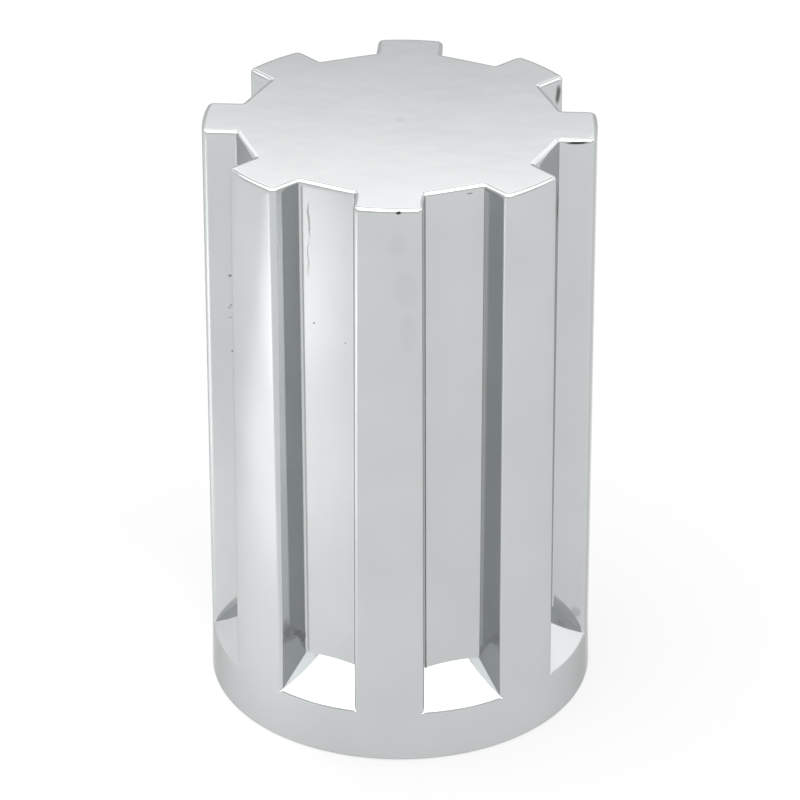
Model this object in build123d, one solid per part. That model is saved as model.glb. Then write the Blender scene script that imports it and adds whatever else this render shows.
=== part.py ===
from build123d import *
from math import cos, hypot, radians, sqrt, tan
import os

# A push-on cover for a truck wheel nut: one plated plastic moulding, open at
# its mouth and closed at its crown, with ridges outside and grip ribs inside.
# The origin is the centre of the mouth, and +Z points to the crown.

# The nut that the cover grips
nut_across_flats = 33.0
nut_flats = 6
nut_height = 32.0
nut_corner_room = 1.8
nut_top_room = 0.5

# The outside, with the sizes that the ridges and flutes have in the mouth's plane
cap_height = 88.9
ring_height = 7.8
ring_draft = 1.35
ridge_count = 8
ridge_width = 10.1
ridge_flank_angle = 0.8
flute_depth = 4.74
ramp_angle = 45.0

# The walls
wall = 2.5
wall_draft = 0.2
mouth_wall = 2.5
crown_wall = 2.8

# The grip ribs, two to each flat of the nut
rib_thickness = 1.6
rib_spacing = 12.0
rib_foot_gap = 1.6
rib_lead_in = 1.8
rib_lead_in_height = 4.0
grip_squeeze = 0.1
nut_stop_step = 2.6
nut_stop_slope = 1.2

# The edges
crown_edge_round = 0.4
ridge_corner_round = 0.7
flute_root_bevel = 0.5
mouth_edge_break = 0.3
mouth_lead_in = 0.5

# Sizes that follow from those above
nut_corner_radius = nut_across_flats / sqrt(3)
floor_radius = nut_corner_radius + nut_corner_room + wall
face_radius = floor_radius + flute_depth
ring_top_radius = face_radius - ring_height * tan(radians(wall_draft))
mouth_radius = ring_top_radius + ring_height * tan(radians(ring_draft))
recess_radius = mouth_radius - mouth_wall
cavity_height = cap_height - crown_wall


def ramp_height(radius, inset):
    """The height of the ramp at a radius, or of the face that lies a wall below it."""
    rise = (ring_top_radius - radius) * tan(radians(ramp_angle))
    return ring_height + rise - inset / cos(radians(ramp_angle))


def turned(*points):
    """A solid turned about Z from points that give radius and height."""
    return revolve(Plane.XZ * make_face(Polyline(*points, close=True)), Axis.Z)


def ridge_outline(inset):
    """One ridge towards +X in plan: flanks that lean together outwards, and a round outer face."""
    lean = tan(radians(ridge_flank_angle))
    centre_half = ridge_width / 2 + face_radius * lean - inset / cos(radians(ridge_flank_angle))
    reach = 2 * face_radius
    end_half = centre_half - reach * lean
    bar = Polyline((0, -centre_half), (reach, -end_half), (reach, end_half), (0, centre_half), close=True)
    return make_face(bar) & Rotation(0, 0, 180) * Circle(face_radius - inset)


def fluted_column(inset, foot, top):
    """The ridges and flutes with drafted walls and bevelled roots, or the column an inset inside them."""
    outline = Sketch() + Circle(floor_radius - inset)
    for index in range(ridge_count):
        outline += Rotation(0, 0, index * 360 / ridge_count) * ridge_outline(inset)
    middle = floor_radius + flute_depth / 2 - inset
    roots = [corner for corner in outline.vertices() if corner.center().length < middle]
    column = extrude(chamfer(roots, flute_root_bevel + inset * (2 - sqrt(2))), top)
    walls = column.faces().filter_by(Axis.Z, reverse=True)
    return split(draft(walls, Plane.XY, wall_draft), Plane.XY.offset(foot), Keep.TOP)


def ridged_column():
    """The ridges and flutes from the mouth's plane to the crown, with the ridges and the crown rounded."""
    column = fluted_column(0, 0, cap_height)
    middle = floor_radius + flute_depth / 2
    upright = column.edges().filter_by(lambda edge: abs(edge.tangent_at(0.5).Z) > 0.5)
    corners = upright.filter_by(lambda edge: hypot(edge.center().X, edge.center().Y) > middle)
    column = fillet(corners, ridge_corner_round)
    crown = column.faces().sort_by(Axis.Z)[-1]
    return fillet(crown.edges(), crown_edge_round)


def outside():
    """The closed outside: a plain ring, the ramps where the flutes run out, and the ridges."""
    buried_radius = floor_radius - wall
    foot = turned(
        (0, 0),
        (mouth_radius, 0),
        (ring_top_radius, ring_height),
        (buried_radius, ramp_height(buried_radius, 0)),
        (0, ramp_height(buried_radius, 0)),
    )
    body = ridged_column() + foot
    mouth = body.faces().sort_by(Axis.Z)[0]
    return chamfer(mouth.edges(), mouth_edge_break)


def grip_rib():
    """One rib beside the middle of the flat that faces +X: a lead-in, the grip, the nut's stop."""
    tip = nut_across_flats / 2 - grip_squeeze
    foot = ramp_height(recess_radius, wall) + rib_foot_gap
    stop = nut_height + nut_top_room
    profile = Polyline(
        (mouth_radius, foot),
        (tip + rib_lead_in, foot),
        (tip, foot + rib_lead_in_height),
        (tip, stop),
        (tip - nut_stop_step, stop + nut_stop_slope),
        (tip - nut_stop_step, cap_height),
        (mouth_radius, cap_height),
        close=True,
    )
    rib = extrude(Plane.XZ * make_face(profile), rib_thickness / 2, both=True)
    return Pos(0, rib_spacing / 2, 0) * rib


def grip_ribs():
    """All the grip ribs, as plates that the cavity leaves standing."""
    pair = [grip_rib(), grip_rib().mirror(Plane.XZ)]
    turn = 360 / nut_flats
    return [Rotation(0, 0, index * turn) * rib for index in range(nut_flats) for rib in pair]


def cavity():
    """The inside: a round recess for the nut's flange, and the ridged hollow above it with its ribs."""
    recess_depth = ramp_height(recess_radius, wall)
    hollow = fluted_column(wall, recess_depth, cavity_height)
    buried_radius = floor_radius - 2 * wall
    mouth = turned(
        (0, -mouth_wall),
        (recess_radius, -mouth_wall),
        (recess_radius, recess_depth),
        (buried_radius, ramp_height(buried_radius, wall)),
        (0, ramp_height(buried_radius, wall)),
    )
    return hollow + mouth - grip_ribs()


def nut_cover():
    """The whole cover."""
    body = outside() - cavity()
    mouth = body.faces().sort_by(Axis.Z)[0]
    rim = mouth.inner_wires()[0].edges()
    return chamfer(rim, mouth_lead_in)


os.makedirs("parts", exist_ok=True)
export_step(nut_cover(), "parts/nut_cover.step")
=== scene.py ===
import math

import bmesh
import bpy
import numpy as np
from mathutils import Matrix, Vector


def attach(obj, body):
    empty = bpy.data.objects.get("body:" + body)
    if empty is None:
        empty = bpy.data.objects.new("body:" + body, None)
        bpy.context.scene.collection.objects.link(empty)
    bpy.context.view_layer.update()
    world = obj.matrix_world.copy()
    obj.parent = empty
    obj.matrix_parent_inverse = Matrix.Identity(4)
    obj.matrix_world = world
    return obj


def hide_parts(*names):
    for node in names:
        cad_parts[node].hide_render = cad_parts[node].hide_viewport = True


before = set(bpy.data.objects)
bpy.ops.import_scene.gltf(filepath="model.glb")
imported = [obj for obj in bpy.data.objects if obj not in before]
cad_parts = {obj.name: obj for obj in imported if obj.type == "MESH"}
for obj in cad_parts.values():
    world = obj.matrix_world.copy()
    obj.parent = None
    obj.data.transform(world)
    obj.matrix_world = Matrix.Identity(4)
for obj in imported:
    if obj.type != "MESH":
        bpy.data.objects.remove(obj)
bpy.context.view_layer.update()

bpy.context.scene.view_settings.view_transform = "Standard"

# THE CAMERA
# A long lens in front of the cap and above it, which looks at a point near
# the middle of its height. Its sizes were fitted to the cap's corners.

image_pixels = 800
sensor_width = 36.0
focal_pixels = 4247.25
camera_distance = 0.6184
camera_elevation = math.radians(29.485)
camera_azimuth = math.radians(3.350)
camera_roll = math.radians(-0.052)
aim_right = 0.000484
aim_height = 0.04290
centre_pixel = (403.44, 406.28)

back = Vector((math.sin(camera_azimuth) * math.cos(camera_elevation),
               -math.cos(camera_azimuth) * math.cos(camera_elevation), math.sin(camera_elevation)))
right = Vector((math.cos(camera_azimuth), math.sin(camera_azimuth), 0.0))
up = back.cross(right)
place = right * aim_right + Vector((0.0, 0.0, aim_height)) + back * camera_distance
turn = Matrix((right, up, back)).transposed() @ Matrix.Rotation(camera_roll, 3, "Z")

camera_data = bpy.data.cameras.new("studio_camera")
camera_data.sensor_width = sensor_width
camera_data.lens = focal_pixels / image_pixels * sensor_width
camera_data.shift_x = 0.5 - centre_pixel[0] / image_pixels
camera_data.shift_y = centre_pixel[1] / image_pixels - 0.5
camera_data.clip_start = 0.05
camera_data.clip_end = 20.0
camera = bpy.data.objects.new("studio_camera", camera_data)
camera.matrix_world = Matrix.Translation(place) @ turn.to_4x4()
bpy.context.collection.objects.link(camera)
bpy.context.scene.camera = camera

# THE TABLE TOP
# A wide white board that the cap stands on. The camera and the plating see it
# nearly white, and a share of its own shading stays, which holds the shadow.

table_radius = 3.0
table_colour = (0.53, 0.53, 0.53, 1.0)
table_white_share = 0.70
table_corners = 96
table_drop = 0.00002

rim_angles = np.linspace(0.0, 2.0 * np.pi, table_corners, endpoint=False)
rim = np.stack([table_radius * np.cos(rim_angles), table_radius * np.sin(rim_angles),
                np.full(table_corners, -table_drop)], axis=1)
table_mesh = bpy.data.meshes.new("table_top")
table_mesh.from_pydata(rim.tolist(), [], [list(range(table_corners))])
table_mesh.update()
table = bpy.data.objects.new("table_top", table_mesh)
bpy.context.collection.objects.link(table)

table_finish = bpy.data.materials.new("white_board")
table_finish.use_nodes = True
nodes = table_finish.node_tree.nodes
links = table_finish.node_tree.links
nodes.clear()
output = nodes.new("ShaderNodeOutputMaterial")
board_or_white = nodes.new("ShaderNodeMixShader")
board = nodes.new("ShaderNodeBsdfDiffuse")
board.inputs["Color"].default_value = table_colour
white = nodes.new("ShaderNodeEmission")
white.inputs["Strength"].default_value = 1.0
light_path = nodes.new("ShaderNodeLightPath")
camera_or_mirror = nodes.new("ShaderNodeMath")
camera_or_mirror.operation = "MAXIMUM"
or_glass = nodes.new("ShaderNodeMath")
or_glass.operation = "MAXIMUM"
white_share = nodes.new("ShaderNodeMath")
white_share.operation = "MULTIPLY"
white_share.inputs[1].default_value = table_white_share
links.new(light_path.outputs["Is Camera Ray"], camera_or_mirror.inputs[0])
links.new(light_path.outputs["Is Glossy Ray"], camera_or_mirror.inputs[1])
links.new(camera_or_mirror.outputs[0], or_glass.inputs[0])
links.new(light_path.outputs["Is Transmission Ray"], or_glass.inputs[1])
links.new(or_glass.outputs[0], white_share.inputs[0])
links.new(white_share.outputs[0], board_or_white.inputs[0])
links.new(board.outputs[0], board_or_white.inputs[1])
links.new(white.outputs[0], board_or_white.inputs[2])
links.new(board_or_white.outputs[0], output.inputs["Surface"])
table.data.materials.append(table_finish)

# THE ROOM AND ITS LIGHTS
# An even pale room that glows a little at the back on both sides, a broad soft
# box overhead, and a soft panel behind whose lower edge fades out. Four narrow
# lamps light the board on the left of the cap.

room_colour = (0.700, 0.706, 0.712)
room = bpy.data.worlds.new("room")
room.use_nodes = True
nodes = room.node_tree.nodes
links = room.node_tree.links
backdrop = nodes["Background"]
backdrop.inputs["Strength"].default_value = 1.0
look = nodes.new("ShaderNodeTexCoord")

# Each glow is given as the way that it lies, the cosines of the angles from
# there at which it starts and is full, and its strength.
room_glows = (
    ((-0.76, 0.58, 0.29), 0.80, 0.99, 0.34),
    ((0.77, 0.53, 0.36), 0.78, 0.99, 0.78),
)
glow_total = None
for aim, starts, full, gain in room_glows:
    nearness = nodes.new("ShaderNodeVectorMath")
    nearness.operation = "DOT_PRODUCT"
    nearness.inputs[1].default_value = Vector(aim).normalized()
    links.new(look.outputs["Generated"], nearness.inputs[0])
    glow = nodes.new("ShaderNodeMapRange")
    glow.interpolation_type = "SMOOTHSTEP"
    glow.inputs["From Min"].default_value = starts
    glow.inputs["From Max"].default_value = full
    glow.inputs["To Min"].default_value = 0.0
    glow.inputs["To Max"].default_value = gain
    links.new(nearness.outputs["Value"], glow.inputs["Value"])
    if glow_total is None:
        glow_total = glow.outputs[0]
    else:
        both = nodes.new("ShaderNodeMath")
        both.operation = "ADD"
        links.new(glow_total, both.inputs[0])
        links.new(glow.outputs[0], both.inputs[1])
        glow_total = both.outputs[0]
tone = nodes.new("ShaderNodeVectorMath")
tone.operation = "ADD"
tone.inputs[0].default_value = room_colour
links.new(glow_total, tone.inputs[1])
links.new(tone.outputs[0], backdrop.inputs["Color"])
bpy.context.scene.world = room


def soft_panel(name, centre, across, along, tone_near, tone_far, fade):
    """A glowing panel: centre + a across + b along, for a and b from -1 to 1.

    Its tone goes from tone_near at b = -1 to tone_far once b has risen by fade, smoothly.
    """
    corners = [(-1.0, -1.0), (1.0, -1.0), (1.0, 1.0), (-1.0, 1.0)]
    points = [Vector(centre) + Vector(across) * a + Vector(along) * b for a, b in corners]
    panel_mesh = bpy.data.meshes.new(name)
    panel_mesh.from_pydata([tuple(point) for point in points], [], [(0, 1, 2, 3)])
    panel_mesh.uv_layers.new(name="panel")
    panel_mesh.uv_layers["panel"].data.foreach_set("uv", [0.0, 0.0, 1.0, 0.0, 1.0, 1.0, 0.0, 1.0])
    panel = bpy.data.objects.new(name, panel_mesh)
    bpy.context.collection.objects.link(panel)
    cloth = bpy.data.materials.new(name + "_cloth")
    cloth.use_nodes = True
    parts = cloth.node_tree.nodes
    wires = cloth.node_tree.links
    parts.clear()
    end = parts.new("ShaderNodeOutputMaterial")
    shine = parts.new("ShaderNodeEmission")
    place_on = parts.new("ShaderNodeUVMap")
    place_on.uv_map = "panel"
    split = parts.new("ShaderNodeSeparateXYZ")
    ramp = parts.new("ShaderNodeMapRange")
    ramp.interpolation_type = "SMOOTHSTEP"
    ramp.inputs["From Min"].default_value = 0.0
    ramp.inputs["From Max"].default_value = fade
    ramp.inputs["To Min"].default_value = tone_near
    ramp.inputs["To Max"].default_value = tone_far
    wires.new(place_on.outputs["UV"], split.inputs[0])
    wires.new(split.outputs["Y"], ramp.inputs["Value"])
    wires.new(ramp.outputs[0], shine.inputs["Strength"])
    wires.new(shine.outputs[0], end.inputs["Surface"])
    panel.data.materials.append(cloth)


soft_panel("overhead_box", centre=(0.0, -0.38, 1.05), across=(1.40, 0.0, 0.0), along=(0.0, 0.93, 0.0),
           tone_near=3.0, tone_far=3.0, fade=0.5)
soft_panel("back_panel", centre=(0.05, 0.90, 0.66), across=(0.85, 0.0, 0.0), along=(0.0, 0.05, 0.20),
           tone_near=0.92, tone_far=1.76, fade=0.25)

# Each board lamp is given as its name, its place above the board and its power.
board_lamps = (
    ("far", -0.150, -0.086, 58.0),
    ("middle", -0.110, -0.055, 36.0),
    ("near", -0.070, -0.031, 20.0),
    ("side", -0.155, 0.002, 10.0),
)
lamp_height = 0.60
lamp_cone = math.radians(12.8)
for lamp_name, lamp_x, lamp_y, power in board_lamps:
    board_spot = bpy.data.lights.new("board_lamp_" + lamp_name, "SPOT")
    board_spot.energy = power
    board_spot.spot_size = lamp_cone
    board_spot.spot_blend = 1.0
    board_spot.shadow_soft_size = 0.01
    board_lamp = bpy.data.objects.new("board_lamp_" + lamp_name, board_spot)
    board_lamp.matrix_world = Matrix.Translation(Vector((lamp_x, lamp_y, lamp_height)))
    board_lamp.visible_camera = False
    board_lamp.visible_glossy = False
    bpy.context.collection.objects.link(board_lamp)

# THE CAP
# One moulding of plastic, plated bright all over: a plain ring at the mouth,
# eight upright ridges, and between them open flutes that run out in ramps.
# Its sizes are in millimetres, those of the ridges and flutes in the mouth's plane.

mm = 0.001
nut_flats = 6
nut_across_flats = 33.0
nut_corner_room = 1.8
cap_height = 88.9
crown_wall = 2.8
wall = 2.5
draft_slope = math.tan(math.radians(0.2))
ridge_count = 8
ridge_width = 10.1
flank_lean = math.radians(0.2)
flute_floor_foot = nut_across_flats / math.sqrt(3.0) + nut_corner_room + wall
flute_depth = 4.74
ridge_face_foot = flute_floor_foot + flute_depth
ring_height = 7.8
ring_top = ridge_face_foot - ring_height * draft_slope
ring_lean = math.radians(1.35)
mouth_radius = ring_top + ring_height * math.tan(ring_lean)
mouth_wall = 2.5
recess_radius = mouth_radius - mouth_wall
recess_depth = ring_height + ring_top - recess_radius - wall * math.sqrt(2.0)
corner_round_low = 0.60
corner_round_high = 1.05
corner_round_least = 0.15
root_round = 0.35
flute_floor_sag = 0.31
flute_floor_bow = 180.0
crown_round = 0.60
crown_margin = crown_round + 0.15
ramp_edge_reach = 0.30
ramp_edge_fade = 0.6
mouth_round = 0.35
lead_in = 0.5
ring_row_heights = (5.0, 2.0)
hollow_row_heights = (35.0, 60.0)

# The columns of the skin: a kind and a share along it, for half a ridge and half
# a flute, then their mirror image, then all of it eight times round. The floor
# has one point more than it has steps, and that point is its middle.
FACE, CORNER, FLANK, ROOT, FLOOR = range(5)
half_steps = np.array([6, 8, 2, 6, 6])
half_points = half_steps + [0, 0, 0, 0, 1]
half_kinds = np.repeat([FACE, CORNER, FLANK, ROOT, FLOOR], half_points)
half_shares = np.concatenate([np.arange(points) / steps for points, steps in zip(half_points, half_steps)])
kinds = np.concatenate([half_kinds, half_kinds[-2:0:-1]])
shares = np.concatenate([half_shares, half_shares[-2:0:-1]])
sides = np.concatenate([np.ones(len(half_kinds)), -np.ones(len(half_kinds) - 2)])
section_columns = len(kinds)
kinds = np.tile(kinds, ridge_count)
shares = np.tile(shares, ridge_count)
sides = np.tile(sides, ridge_count)
ridge_turn = np.repeat(np.arange(ridge_count) * 2.0 * np.pi / ridge_count, section_columns)
flute_turn = np.where(sides > 0, 0.0, 2.0 * np.pi / ridge_count)


def wall_line(height, inset):
    """Where the wall of ridges and flutes lies at a height, and which way it faces, for every column.

    In plan a ridge is an arc about the centre, a rounded corner, a straight flank that leans in
    outwards, a rounded root, and the flute's floor, a flat arc whose centre lies behind the cap's own.
    The flank's line lies at a distance from the centre along its own normal. Each arc touches the
    lines beside it. All shrink by the draft and by the inset.
    """
    height = height * np.ones(len(kinds))
    shrink = height * draft_slope + inset
    face = ridge_face_foot - shrink
    floor = flute_floor_bow - shrink
    bow_middle = flute_floor_foot - flute_floor_sag - flute_floor_bow
    half_pitch = math.pi / ridge_count
    bow_x, bow_y = bow_middle * math.cos(half_pitch), bow_middle * math.sin(half_pitch)
    reach = (ridge_width / 2 + ridge_face_foot * math.tan(flank_lean)) * math.cos(flank_lean) - shrink
    corner = corner_round_low + (corner_round_high - corner_round_low) * height / cap_height
    corner = np.maximum(corner - inset, corner_round_least)
    root = root_round + inset
    normal = np.array([math.sin(flank_lean), math.cos(flank_lean)])
    along = np.array([math.cos(flank_lean), -math.sin(flank_lean)])
    corner_along = np.sqrt((face - corner) ** 2 - (reach - corner) ** 2)
    corner_x = (reach - corner) * normal[0] + corner_along * along[0]
    corner_y = (reach - corner) * normal[1] + corner_along * along[1]
    root_along = np.sqrt((floor + root) ** 2 - (reach + root - bow_x * normal[0] - bow_y * normal[1]) ** 2)
    root_along = root_along + bow_x * along[0] + bow_y * along[1]
    root_x = (reach + root) * normal[0] + root_along * along[0]
    root_y = (reach + root) * normal[1] + root_along * along[1]
    corner_angle = np.arctan2(corner_y, corner_x)
    root_angle = np.arctan2(root_y - bow_y, root_x - bow_x)
    flank_angle = math.pi / 2 - flank_lean
    face_way = shares * corner_angle
    corner_way = corner_angle + shares * (flank_angle - corner_angle)
    root_way = flank_angle + np.pi + shares * (root_angle - flank_angle)
    floor_way = root_angle + shares * (half_pitch - root_angle)
    start_x, start_y = corner_x + corner * normal[0], corner_y + corner * normal[1]
    end_x, end_y = root_x - root * normal[0], root_y - root * normal[1]
    x = np.choose(kinds, [face * np.cos(face_way), corner_x + corner * np.cos(corner_way),
                          start_x + shares * (end_x - start_x), root_x + root * np.cos(root_way),
                          bow_x + floor * np.cos(floor_way)])
    y = np.choose(kinds, [face * np.sin(face_way), corner_y + corner * np.sin(corner_way),
                          start_y + shares * (end_y - start_y), root_y + root * np.sin(root_way),
                          bow_y + floor * np.sin(floor_way)])
    way = np.choose(kinds, [face_way, corner_way, np.full(len(kinds), flank_angle),
                            root_way - np.pi, floor_way])
    angle = ridge_turn + flute_turn + sides * np.arctan2(y, x)
    facing = ridge_turn + flute_turn + sides * way
    radius = np.hypot(x, y)
    return radius * np.cos(angle), radius * np.sin(angle), np.cos(facing), np.sin(facing)


def skin_row(x, y, height):
    """One row of the skin: a point for every column."""
    return np.stack([x, y, height * np.ones(len(kinds))], axis=1)


def round_row(x, y, radius, height):
    """The points of a row, moved straight in or out to a radius."""
    size = np.maximum(np.hypot(x, y), 1e-9)
    return skin_row(x / size * radius, y / size * radius, height)


def cone_foot(inset, level, level_radius):
    """Where the wall at an inset meets the ramp, a cone that rises by as much as it narrows from a level.

    The wall is drafted, so its radius is read again at each height that is found, until the two agree.
    """
    height = np.full(len(kinds), level)
    for approach in range(5):
        x, y, _, _ = wall_line(height, inset)
        height = level + np.maximum(level_radius - np.hypot(x, y), 0.0)
    return x, y, height


rows = []
sharp_rows = []

# The crown: a flat disc with a row close to its edge, and a rounding that leaves the wall along
# the wall's own normal.
crown_x, crown_y, facing_x, facing_y = wall_line(cap_height - crown_round, 0.0)
for disc_radius in (0.0, 9.0, 18.0):
    rows.append(round_row(crown_x, crown_y, disc_radius, cap_height))
rows.append(skin_row(crown_x - facing_x * crown_margin, crown_y - facing_y * crown_margin, cap_height))
for turned in np.radians([90.0, 75.0, 60.0, 45.0, 30.0, 15.0, 0.0]):
    inward = crown_round * (1.0 - math.cos(turned))
    rows.append(skin_row(crown_x - facing_x * inward, crown_y - facing_y * inward,
                         cap_height - crown_round * (1.0 - math.sin(turned))))

# The wall, down to the ramps.
foot_x, foot_y, foot_height = cone_foot(0.0, ring_height, ring_top)
for share in (0.004, 0.125, 0.25, 0.375, 0.5, 0.625, 0.75, 0.875, 0.99):
    height = (cap_height - crown_round) * (1.0 - share) + foot_height * share
    x, y, _, _ = wall_line(height, 0.0)
    rows.append(skin_row(x, y, height))
sharp_rows.append(len(rows))
rows.append(skin_row(foot_x, foot_y, foot_height))

# The ramps, their rounded lower edge, and the ring, as a profile carried round the cap. The
# rounding touches the ramp and the ring at an equal reach from their edge, and it fades out
# towards the ridges.
slant = math.sqrt(0.5)
foot_radius = np.hypot(foot_x, foot_y)
ramp_length = np.maximum(ring_top - foot_radius, 0.0) * math.sqrt(2.0)
ease = np.clip((ring_top - foot_radius) / ramp_edge_fade, 0.0, 1.0)
edge_reach = ramp_edge_reach * ease * ease * (3.0 - 2.0 * ease)
edge_turn = math.radians(45.0) - ring_lean
edge_radius = edge_reach / math.tan(edge_turn / 2.0)
edge_start = ring_top - edge_reach * slant
edge_start_height = ring_height + edge_reach * slant
for share in (0.34, 0.67):
    path = share * (ramp_length - edge_reach)
    rows.append(round_row(foot_x, foot_y, foot_radius + path * slant, foot_height - path * slant))
for turned in math.radians(45.0) - np.linspace(0.0, edge_turn, 6):
    radius = edge_start - edge_radius * slant + edge_radius * math.cos(turned)
    height = edge_start_height - edge_radius * slant + edge_radius * math.sin(turned)
    rows.append(round_row(foot_x, foot_y, radius, height))
for height in ring_row_heights:
    rows.append(round_row(foot_x, foot_y, mouth_radius - height * math.tan(ring_lean), height))
for turned in np.radians([0.0, 22.5, 45.0, 67.5, 90.0]):
    radius = mouth_radius - mouth_round * math.tan(ring_lean) - mouth_round * (1.0 - math.cos(turned))
    rows.append(round_row(foot_x, foot_y, radius, mouth_round * (1.0 - math.sin(turned))))

# The inside: the lead-in, the round recess, its sloping end, and the hollow that follows the ridges.
inner_x, inner_y, inner_height = cone_foot(wall, recess_depth, recess_radius)
for turned in np.radians([90.0, 60.0, 30.0, 0.0]):
    radius = recess_radius + lead_in * (1.0 - math.cos(turned))
    rows.append(round_row(inner_x, inner_y, radius, lead_in * (1.0 - math.sin(turned))))
sharp_rows.append(len(rows))
rows.append(round_row(inner_x, inner_y, recess_radius, recess_depth))
sharp_rows.append(len(rows))
rows.append(skin_row(inner_x, inner_y, inner_height))
for height in hollow_row_heights:
    x, y, _, _ = wall_line(height, wall)
    rows.append(skin_row(x, y, height))
ceiling_x, ceiling_y, _, _ = wall_line(cap_height - crown_wall, wall)
sharp_rows.append(len(rows))
rows.append(skin_row(ceiling_x, ceiling_y, cap_height - crown_wall))
for disc_radius in (12.0, 0.0):
    rows.append(round_row(ceiling_x, ceiling_y, disc_radius, cap_height - crown_wall))

skin = np.stack(rows) * mm
row_count, column_count = skin.shape[:2]
index = np.arange(row_count * column_count).reshape(row_count, column_count)
following = np.roll(index, -1, axis=1)
corners = np.stack([index[:-1], index[1:], following[1:], following[:-1]], axis=-1).reshape(-1, 4)

# The ramps' upper edges and the hollow's inner edges are crisp. A ridge's face runs on into
# the ring without one.
face_margin = 0.25
cap_mesh = bpy.data.meshes.new("plated_cap")
cap_mesh.from_pydata(skin.reshape(-1, 3).tolist(), [], corners.tolist())
cap_mesh.update()
edge_ends = np.empty(len(cap_mesh.edges) * 2, dtype=np.int32)
cap_mesh.edges.foreach_get("vertices", edge_ends)
end_rows = edge_ends.reshape(-1, 2) // column_count
end_radii = np.hypot(*skin.reshape(-1, 3)[edge_ends, :2].T).reshape(-1, 2)
along_row = (end_rows[:, 0] == end_rows[:, 1]) & np.isin(end_rows[:, 0], sharp_rows)
inside_face = end_radii.min(axis=1) < (ring_top - face_margin) * mm
cap_mesh.edges.foreach_set("use_edge_sharp", along_row & inside_face)

# Points that fall together, at the poles and where a ramp runs out, become one.
joined = bmesh.new()
joined.from_mesh(cap_mesh)
bmesh.ops.remove_doubles(joined, verts=joined.verts, dist=5e-7)
bmesh.ops.dissolve_degenerate(joined, edges=joined.edges, dist=1e-8)
bmesh.ops.recalc_face_normals(joined, faces=joined.faces)
joined.to_mesh(cap_mesh)
joined.free()
cap_mesh.polygons.foreach_set("use_smooth", np.ones(len(cap_mesh.polygons), dtype=bool))

cap = bpy.data.objects.new("plated_cap", cap_mesh)
bpy.context.collection.objects.link(cap)
even = cap.modifiers.new("even_shading", "WEIGHTED_NORMAL")
even.mode = "FACE_AREA"
even.weight = 50
even.keep_sharp = True

# The plating: bright metal with a faint haze, slow waves and cloudy tone, as thin plating
# over plastic has.
edge_tint = (0.60, 0.60, 0.60, 1.0)
mark_colour = (0.020, 0.020, 0.021, 1.0)
mark_ripple = 0.7
wave_height = 0.006
plating = bpy.data.materials.new("bright_plating")
plating.use_nodes = True
nodes = plating.node_tree.nodes
links = plating.node_tree.links
shader = nodes["Principled BSDF"]
shader.inputs["Specular Tint"].default_value = edge_tint
position = nodes.new("ShaderNodeTexCoord")

# The marks of use and of the moulding. Each is given as its centre, its half sizes and its
# strength, and a fine ripple makes its edge uneven.
ripple = nodes.new("ShaderNodeTexNoise")
ripple.inputs["Scale"].default_value = 420.0
ripple.inputs["Detail"].default_value = 2.0
links.new(position.outputs["Object"], ripple.inputs["Vector"])
shift = nodes.new("ShaderNodeVectorMath")
shift.operation = "MULTIPLY_ADD"
shift.inputs[1].default_value = (mark_ripple * mm,) * 3
links.new(ripple.outputs["Color"], shift.inputs[0])
links.new(position.outputs["Object"], shift.inputs[2])
marks = (
    # Pits down the side of the left ridge.
    ((-23.92, -4.88, 66.17), (0.26, 0.5, 0.30), 0.55), ((-23.91, -4.89, 61.41), (0.22, 0.5, 0.22), 0.50),
    ((-24.22, -4.89, 61.01), (0.20, 0.5, 0.20), 0.45), ((-24.00, -4.90, 59.56), (0.20, 0.5, 0.20), 0.45),
    ((-23.88, -4.92, 54.03), (0.24, 0.5, 0.26), 0.50),
    # Dots in the left flute, and a hairline scratch below the crown.
    ((-10.83, -20.19, 67.23), (0.18, 0.4, 0.20), 0.45), ((-6.19, -22.11, 65.10), (0.15, 0.4, 0.16), 0.35),
    ((-14.68, -21.59, 57.55), (0.18, 0.3, 0.20), 0.40), ((-11.32, -19.92, 83.20), (0.17, 0.5, 3.20), 0.42),
    ((-11.44, -19.90, 77.20), (0.15, 0.5, 3.40), 0.30),
    # Dark spots on the crown's edge, over the front ridge, the right flute and the right ridge.
    ((1.53, -27.72, 88.50), (0.50, 0.4, 0.26), 1.00), ((10.77, -20.14, 87.95), (0.60, 0.6, 0.14), 0.60),
    ((25.10, -4.77, 88.46), (1.90, 0.5, 0.24), 1.00),
    # A patch on the ridge behind the right one, a dark line down the root beside the right ridge, and
    # a spot on the crown's left edge.
    ((21.90, 15.00, 86.50), (0.60, 0.6, 1.70), 0.80), ((22.50, -5.12, 78.60), (0.22, 0.4, 3.80), 0.75),
    ((-19.35, -13.06, 88.88), (0.60, 0.5, 0.30), 0.35),
    # The faint gate mark on the crown, and cloudy smudges down the front ridge.
    ((0.02, 0.40, 88.90), (0.85, 1.1, 0.40), 0.13), ((2.33, -27.72, 76.80), (2.20, 0.8, 3.20), 0.045),
    ((1.39, -27.76, 83.66), (1.50, 0.8, 2.00), 0.04), ((2.74, -27.71, 69.80), (1.40, 0.8, 3.20), 0.04),
    # A zig-zag above the left flute's ramp, and smudges above the ramps on the right.
    ((-14.90, -22.00, 17.30), (0.45, 0.5, 1.10), 0.50), ((-13.70, -20.85, 16.60), (1.00, 1.0, 0.40), 0.50),
    ((-12.75, -19.95, 15.40), (0.30, 0.4, 1.30), 0.45), ((15.22, -22.30, 17.40), (0.55, 0.6, 1.70), 0.35),
    ((26.20, -5.04, 11.60), (0.90, 0.5, 1.10), 0.22),
)
marked = None
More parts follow.
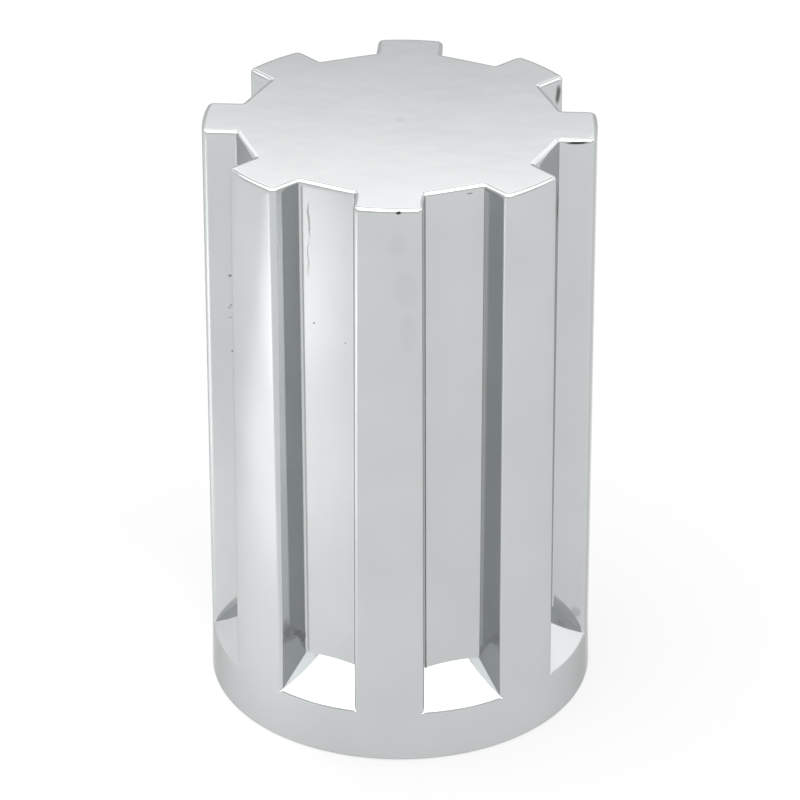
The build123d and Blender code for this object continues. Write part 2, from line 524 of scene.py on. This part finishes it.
for centre, half_sizes, strength in marks:
    offset = nodes.new("ShaderNodeVectorMath")
    offset.operation = "SUBTRACT"
    offset.inputs[1].default_value = [(middle + mark_ripple / 2) * mm for middle in centre]
    links.new(shift.outputs[0], offset.inputs[0])
    scaled = nodes.new("ShaderNodeVectorMath")
    scaled.operation = "DIVIDE"
    scaled.inputs[1].default_value = [half * mm for half in half_sizes]
    links.new(offset.outputs[0], scaled.inputs[0])
    away = nodes.new("ShaderNodeVectorMath")
    away.operation = "LENGTH"
    links.new(scaled.outputs[0], away.inputs[0])
    soft_edge = nodes.new("ShaderNodeMapRange")
    soft_edge.interpolation_type = "SMOOTHSTEP"
    soft_edge.inputs["From Min"].default_value = 0.45
    soft_edge.inputs["From Max"].default_value = 1.15
    soft_edge.inputs["To Min"].default_value = strength
    soft_edge.inputs["To Max"].default_value = 0.0
    links.new(away.outputs["Value"], soft_edge.inputs["Value"])
    if marked is None:
        marked = soft_edge.outputs[0]
    else:
        stronger = nodes.new("ShaderNodeMath")
        stronger.operation = "MAXIMUM"
        links.new(marked, stronger.inputs[0])
        links.new(soft_edge.outputs[0], stronger.inputs[1])
        marked = stronger.outputs[0]

# The cloudy tone and dullness, and the marks over them.
clouds = nodes.new("ShaderNodeTexNoise")
clouds.inputs["Scale"].default_value = 75.0
clouds.inputs["Detail"].default_value = 3.0
links.new(position.outputs["Object"], clouds.inputs["Vector"])
tones = nodes.new("ShaderNodeValToRGB")
tones.color_ramp.elements[0].position = 0.30
tones.color_ramp.elements[0].color = (0.519, 0.537, 0.538, 1.0)
tones.color_ramp.elements[1].position = 0.70
tones.color_ramp.elements[1].color = (0.547, 0.565, 0.566, 1.0)
links.new(clouds.outputs["Fac"], tones.inputs["Fac"])
darken = nodes.new("ShaderNodeMix")
darken.data_type = "RGBA"
links.new(marked, darken.inputs["Factor"])
links.new(tones.outputs["Color"], darken.inputs["A"])
darken.inputs["B"].default_value = mark_colour
links.new(darken.outputs["Result"], shader.inputs["Base Color"])
bright_part = nodes.new("ShaderNodeMapRange")
bright_part.inputs["To Min"].default_value = 0.87
bright_part.inputs["To Max"].default_value = 0.40
links.new(marked, bright_part.inputs["Value"])
links.new(bright_part.outputs[0], shader.inputs["Metallic"])
dullness = nodes.new("ShaderNodeMath")
dullness.operation = "MULTIPLY_ADD"
dullness.inputs[1].default_value = 0.25
roughness = nodes.new("ShaderNodeMapRange")
roughness.inputs["From Min"].default_value = 0.30
roughness.inputs["From Max"].default_value = 0.70
roughness.inputs["To Min"].default_value = 0.045
roughness.inputs["To Max"].default_value = 0.075
links.new(clouds.outputs["Fac"], roughness.inputs["Value"])
links.new(marked, dullness.inputs[0])
links.new(roughness.outputs[0], dullness.inputs[2])
links.new(dullness.outputs[0], shader.inputs["Roughness"])

# The slow waves of the moulding under the plating, drawn out along its height.
stretch = nodes.new("ShaderNodeMapping")
stretch.inputs["Scale"].default_value = (1.0, 1.0, 0.35)
links.new(position.outputs["Object"], stretch.inputs["Vector"])
waves = nodes.new("ShaderNodeTexNoise")
waves.inputs["Scale"].default_value = 260.0
waves.inputs["Detail"].default_value = 1.0
links.new(stretch.outputs["Vector"], waves.inputs["Vector"])
relief = nodes.new("ShaderNodeBump")
relief.inputs["Strength"].default_value = 1.0
relief.inputs["Distance"].default_value = wave_height * mm
links.new(waves.outputs["Fac"], relief.inputs["Height"])
links.new(relief.outputs["Normal"], shader.inputs["Normal"])
cap.data.materials.append(plating)

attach(cap, "root")
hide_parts("nut_cover")

# THE GRIP RIBS
# Twelve thin ribs inside the same moulding, two to each flat of the nut. Each
# has a sloping lead-in, a straight grip, and a step that the nut stops on.

rib_thickness = 1.6
rib_offset = 6.0
rib_edge = 0.15
rib_edge_draw = 0.012
rib_tip = nut_across_flats / 2 - 0.1
rib_lead_in = 1.8
rib_lead_in_height = 4.0
rib_foot = recess_depth + 1.6
rib_stop = 32.5
nut_stop_step = 2.6
nut_stop_slope = 1.2
rib_root_in_flute = 20.9
rib_root_in_ridge = 26.1
ridge_half_turn = math.radians(6.0)
rib_roof = cap_height - crown_wall + 0.8
profile_count = 7


def rib_skin(turn_about, side):
    """One rib: its profile carried across its thickness, drawn in a little at both sides, with closed ends.

    Its outer end stands in the wall: far out where a ridge is hollow, and nearer the centre behind a flute.
    """
    rib_angle = turn_about + side * math.atan2(rib_offset, rib_tip)
    past_ridge = math.remainder(rib_angle, 2.0 * math.pi / ridge_count)
    rib_root = rib_root_in_ridge if abs(past_ridge) < ridge_half_turn else rib_root_in_flute
    rib_profile = np.array([
        (rib_root, rib_foot), (rib_tip + rib_lead_in, rib_foot), (rib_tip, rib_foot + rib_lead_in_height),
        (rib_tip, rib_stop), (rib_tip - nut_stop_step, rib_stop + nut_stop_slope),
        (rib_tip - nut_stop_step, rib_roof), (rib_root, rib_roof),
    ])
    middle = rib_profile.mean(axis=0)
    inward = rib_profile + (middle - rib_profile) * rib_edge_draw
    layers = [(inward, -1.0), (rib_profile, -1.0 + 2 * rib_edge / rib_thickness),
              (rib_profile, 1.0 - 2 * rib_edge / rib_thickness), (inward, 1.0)]
    points = np.concatenate([
        np.stack([outline[:, 0], np.full(profile_count, side * rib_offset + share * rib_thickness / 2),
                  outline[:, 1]], axis=1)
        for outline, share in layers])
    cos_turn, sin_turn = math.cos(turn_about), math.sin(turn_about)
    return np.stack([points[:, 0] * cos_turn - points[:, 1] * sin_turn,
                     points[:, 0] * sin_turn + points[:, 1] * cos_turn, points[:, 2]], axis=1)


# Each layer of a rib is joined to the next, and the first and the last are closed.
one_rib = [[layer * profile_count + k, layer * profile_count + (k + 1) % profile_count,
            (layer + 1) * profile_count + (k + 1) % profile_count, (layer + 1) * profile_count + k]
           for layer in range(3) for k in range(profile_count)]
one_rib.append(list(range(profile_count))[::-1])
one_rib.append(list(range(3 * profile_count, 4 * profile_count)))
rib_points = []
rib_faces = []
for flat_index in range(nut_flats):
    for side in (-1.0, 1.0):
        rib_faces += [[corner + len(rib_points) * 4 * profile_count for corner in face] for face in one_rib]
        rib_points.append(rib_skin(flat_index * 2.0 * math.pi / nut_flats, side))
rib_mesh = bpy.data.meshes.new("grip_ribs")
rib_mesh.from_pydata((np.concatenate(rib_points) * mm).tolist(), [], rib_faces)
rib_mesh.update()
ribs = bpy.data.objects.new("grip_ribs", rib_mesh)
bpy.context.collection.objects.link(ribs)
ribs.data.materials.append(plating)
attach(ribs, "root")
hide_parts("nut_cover")
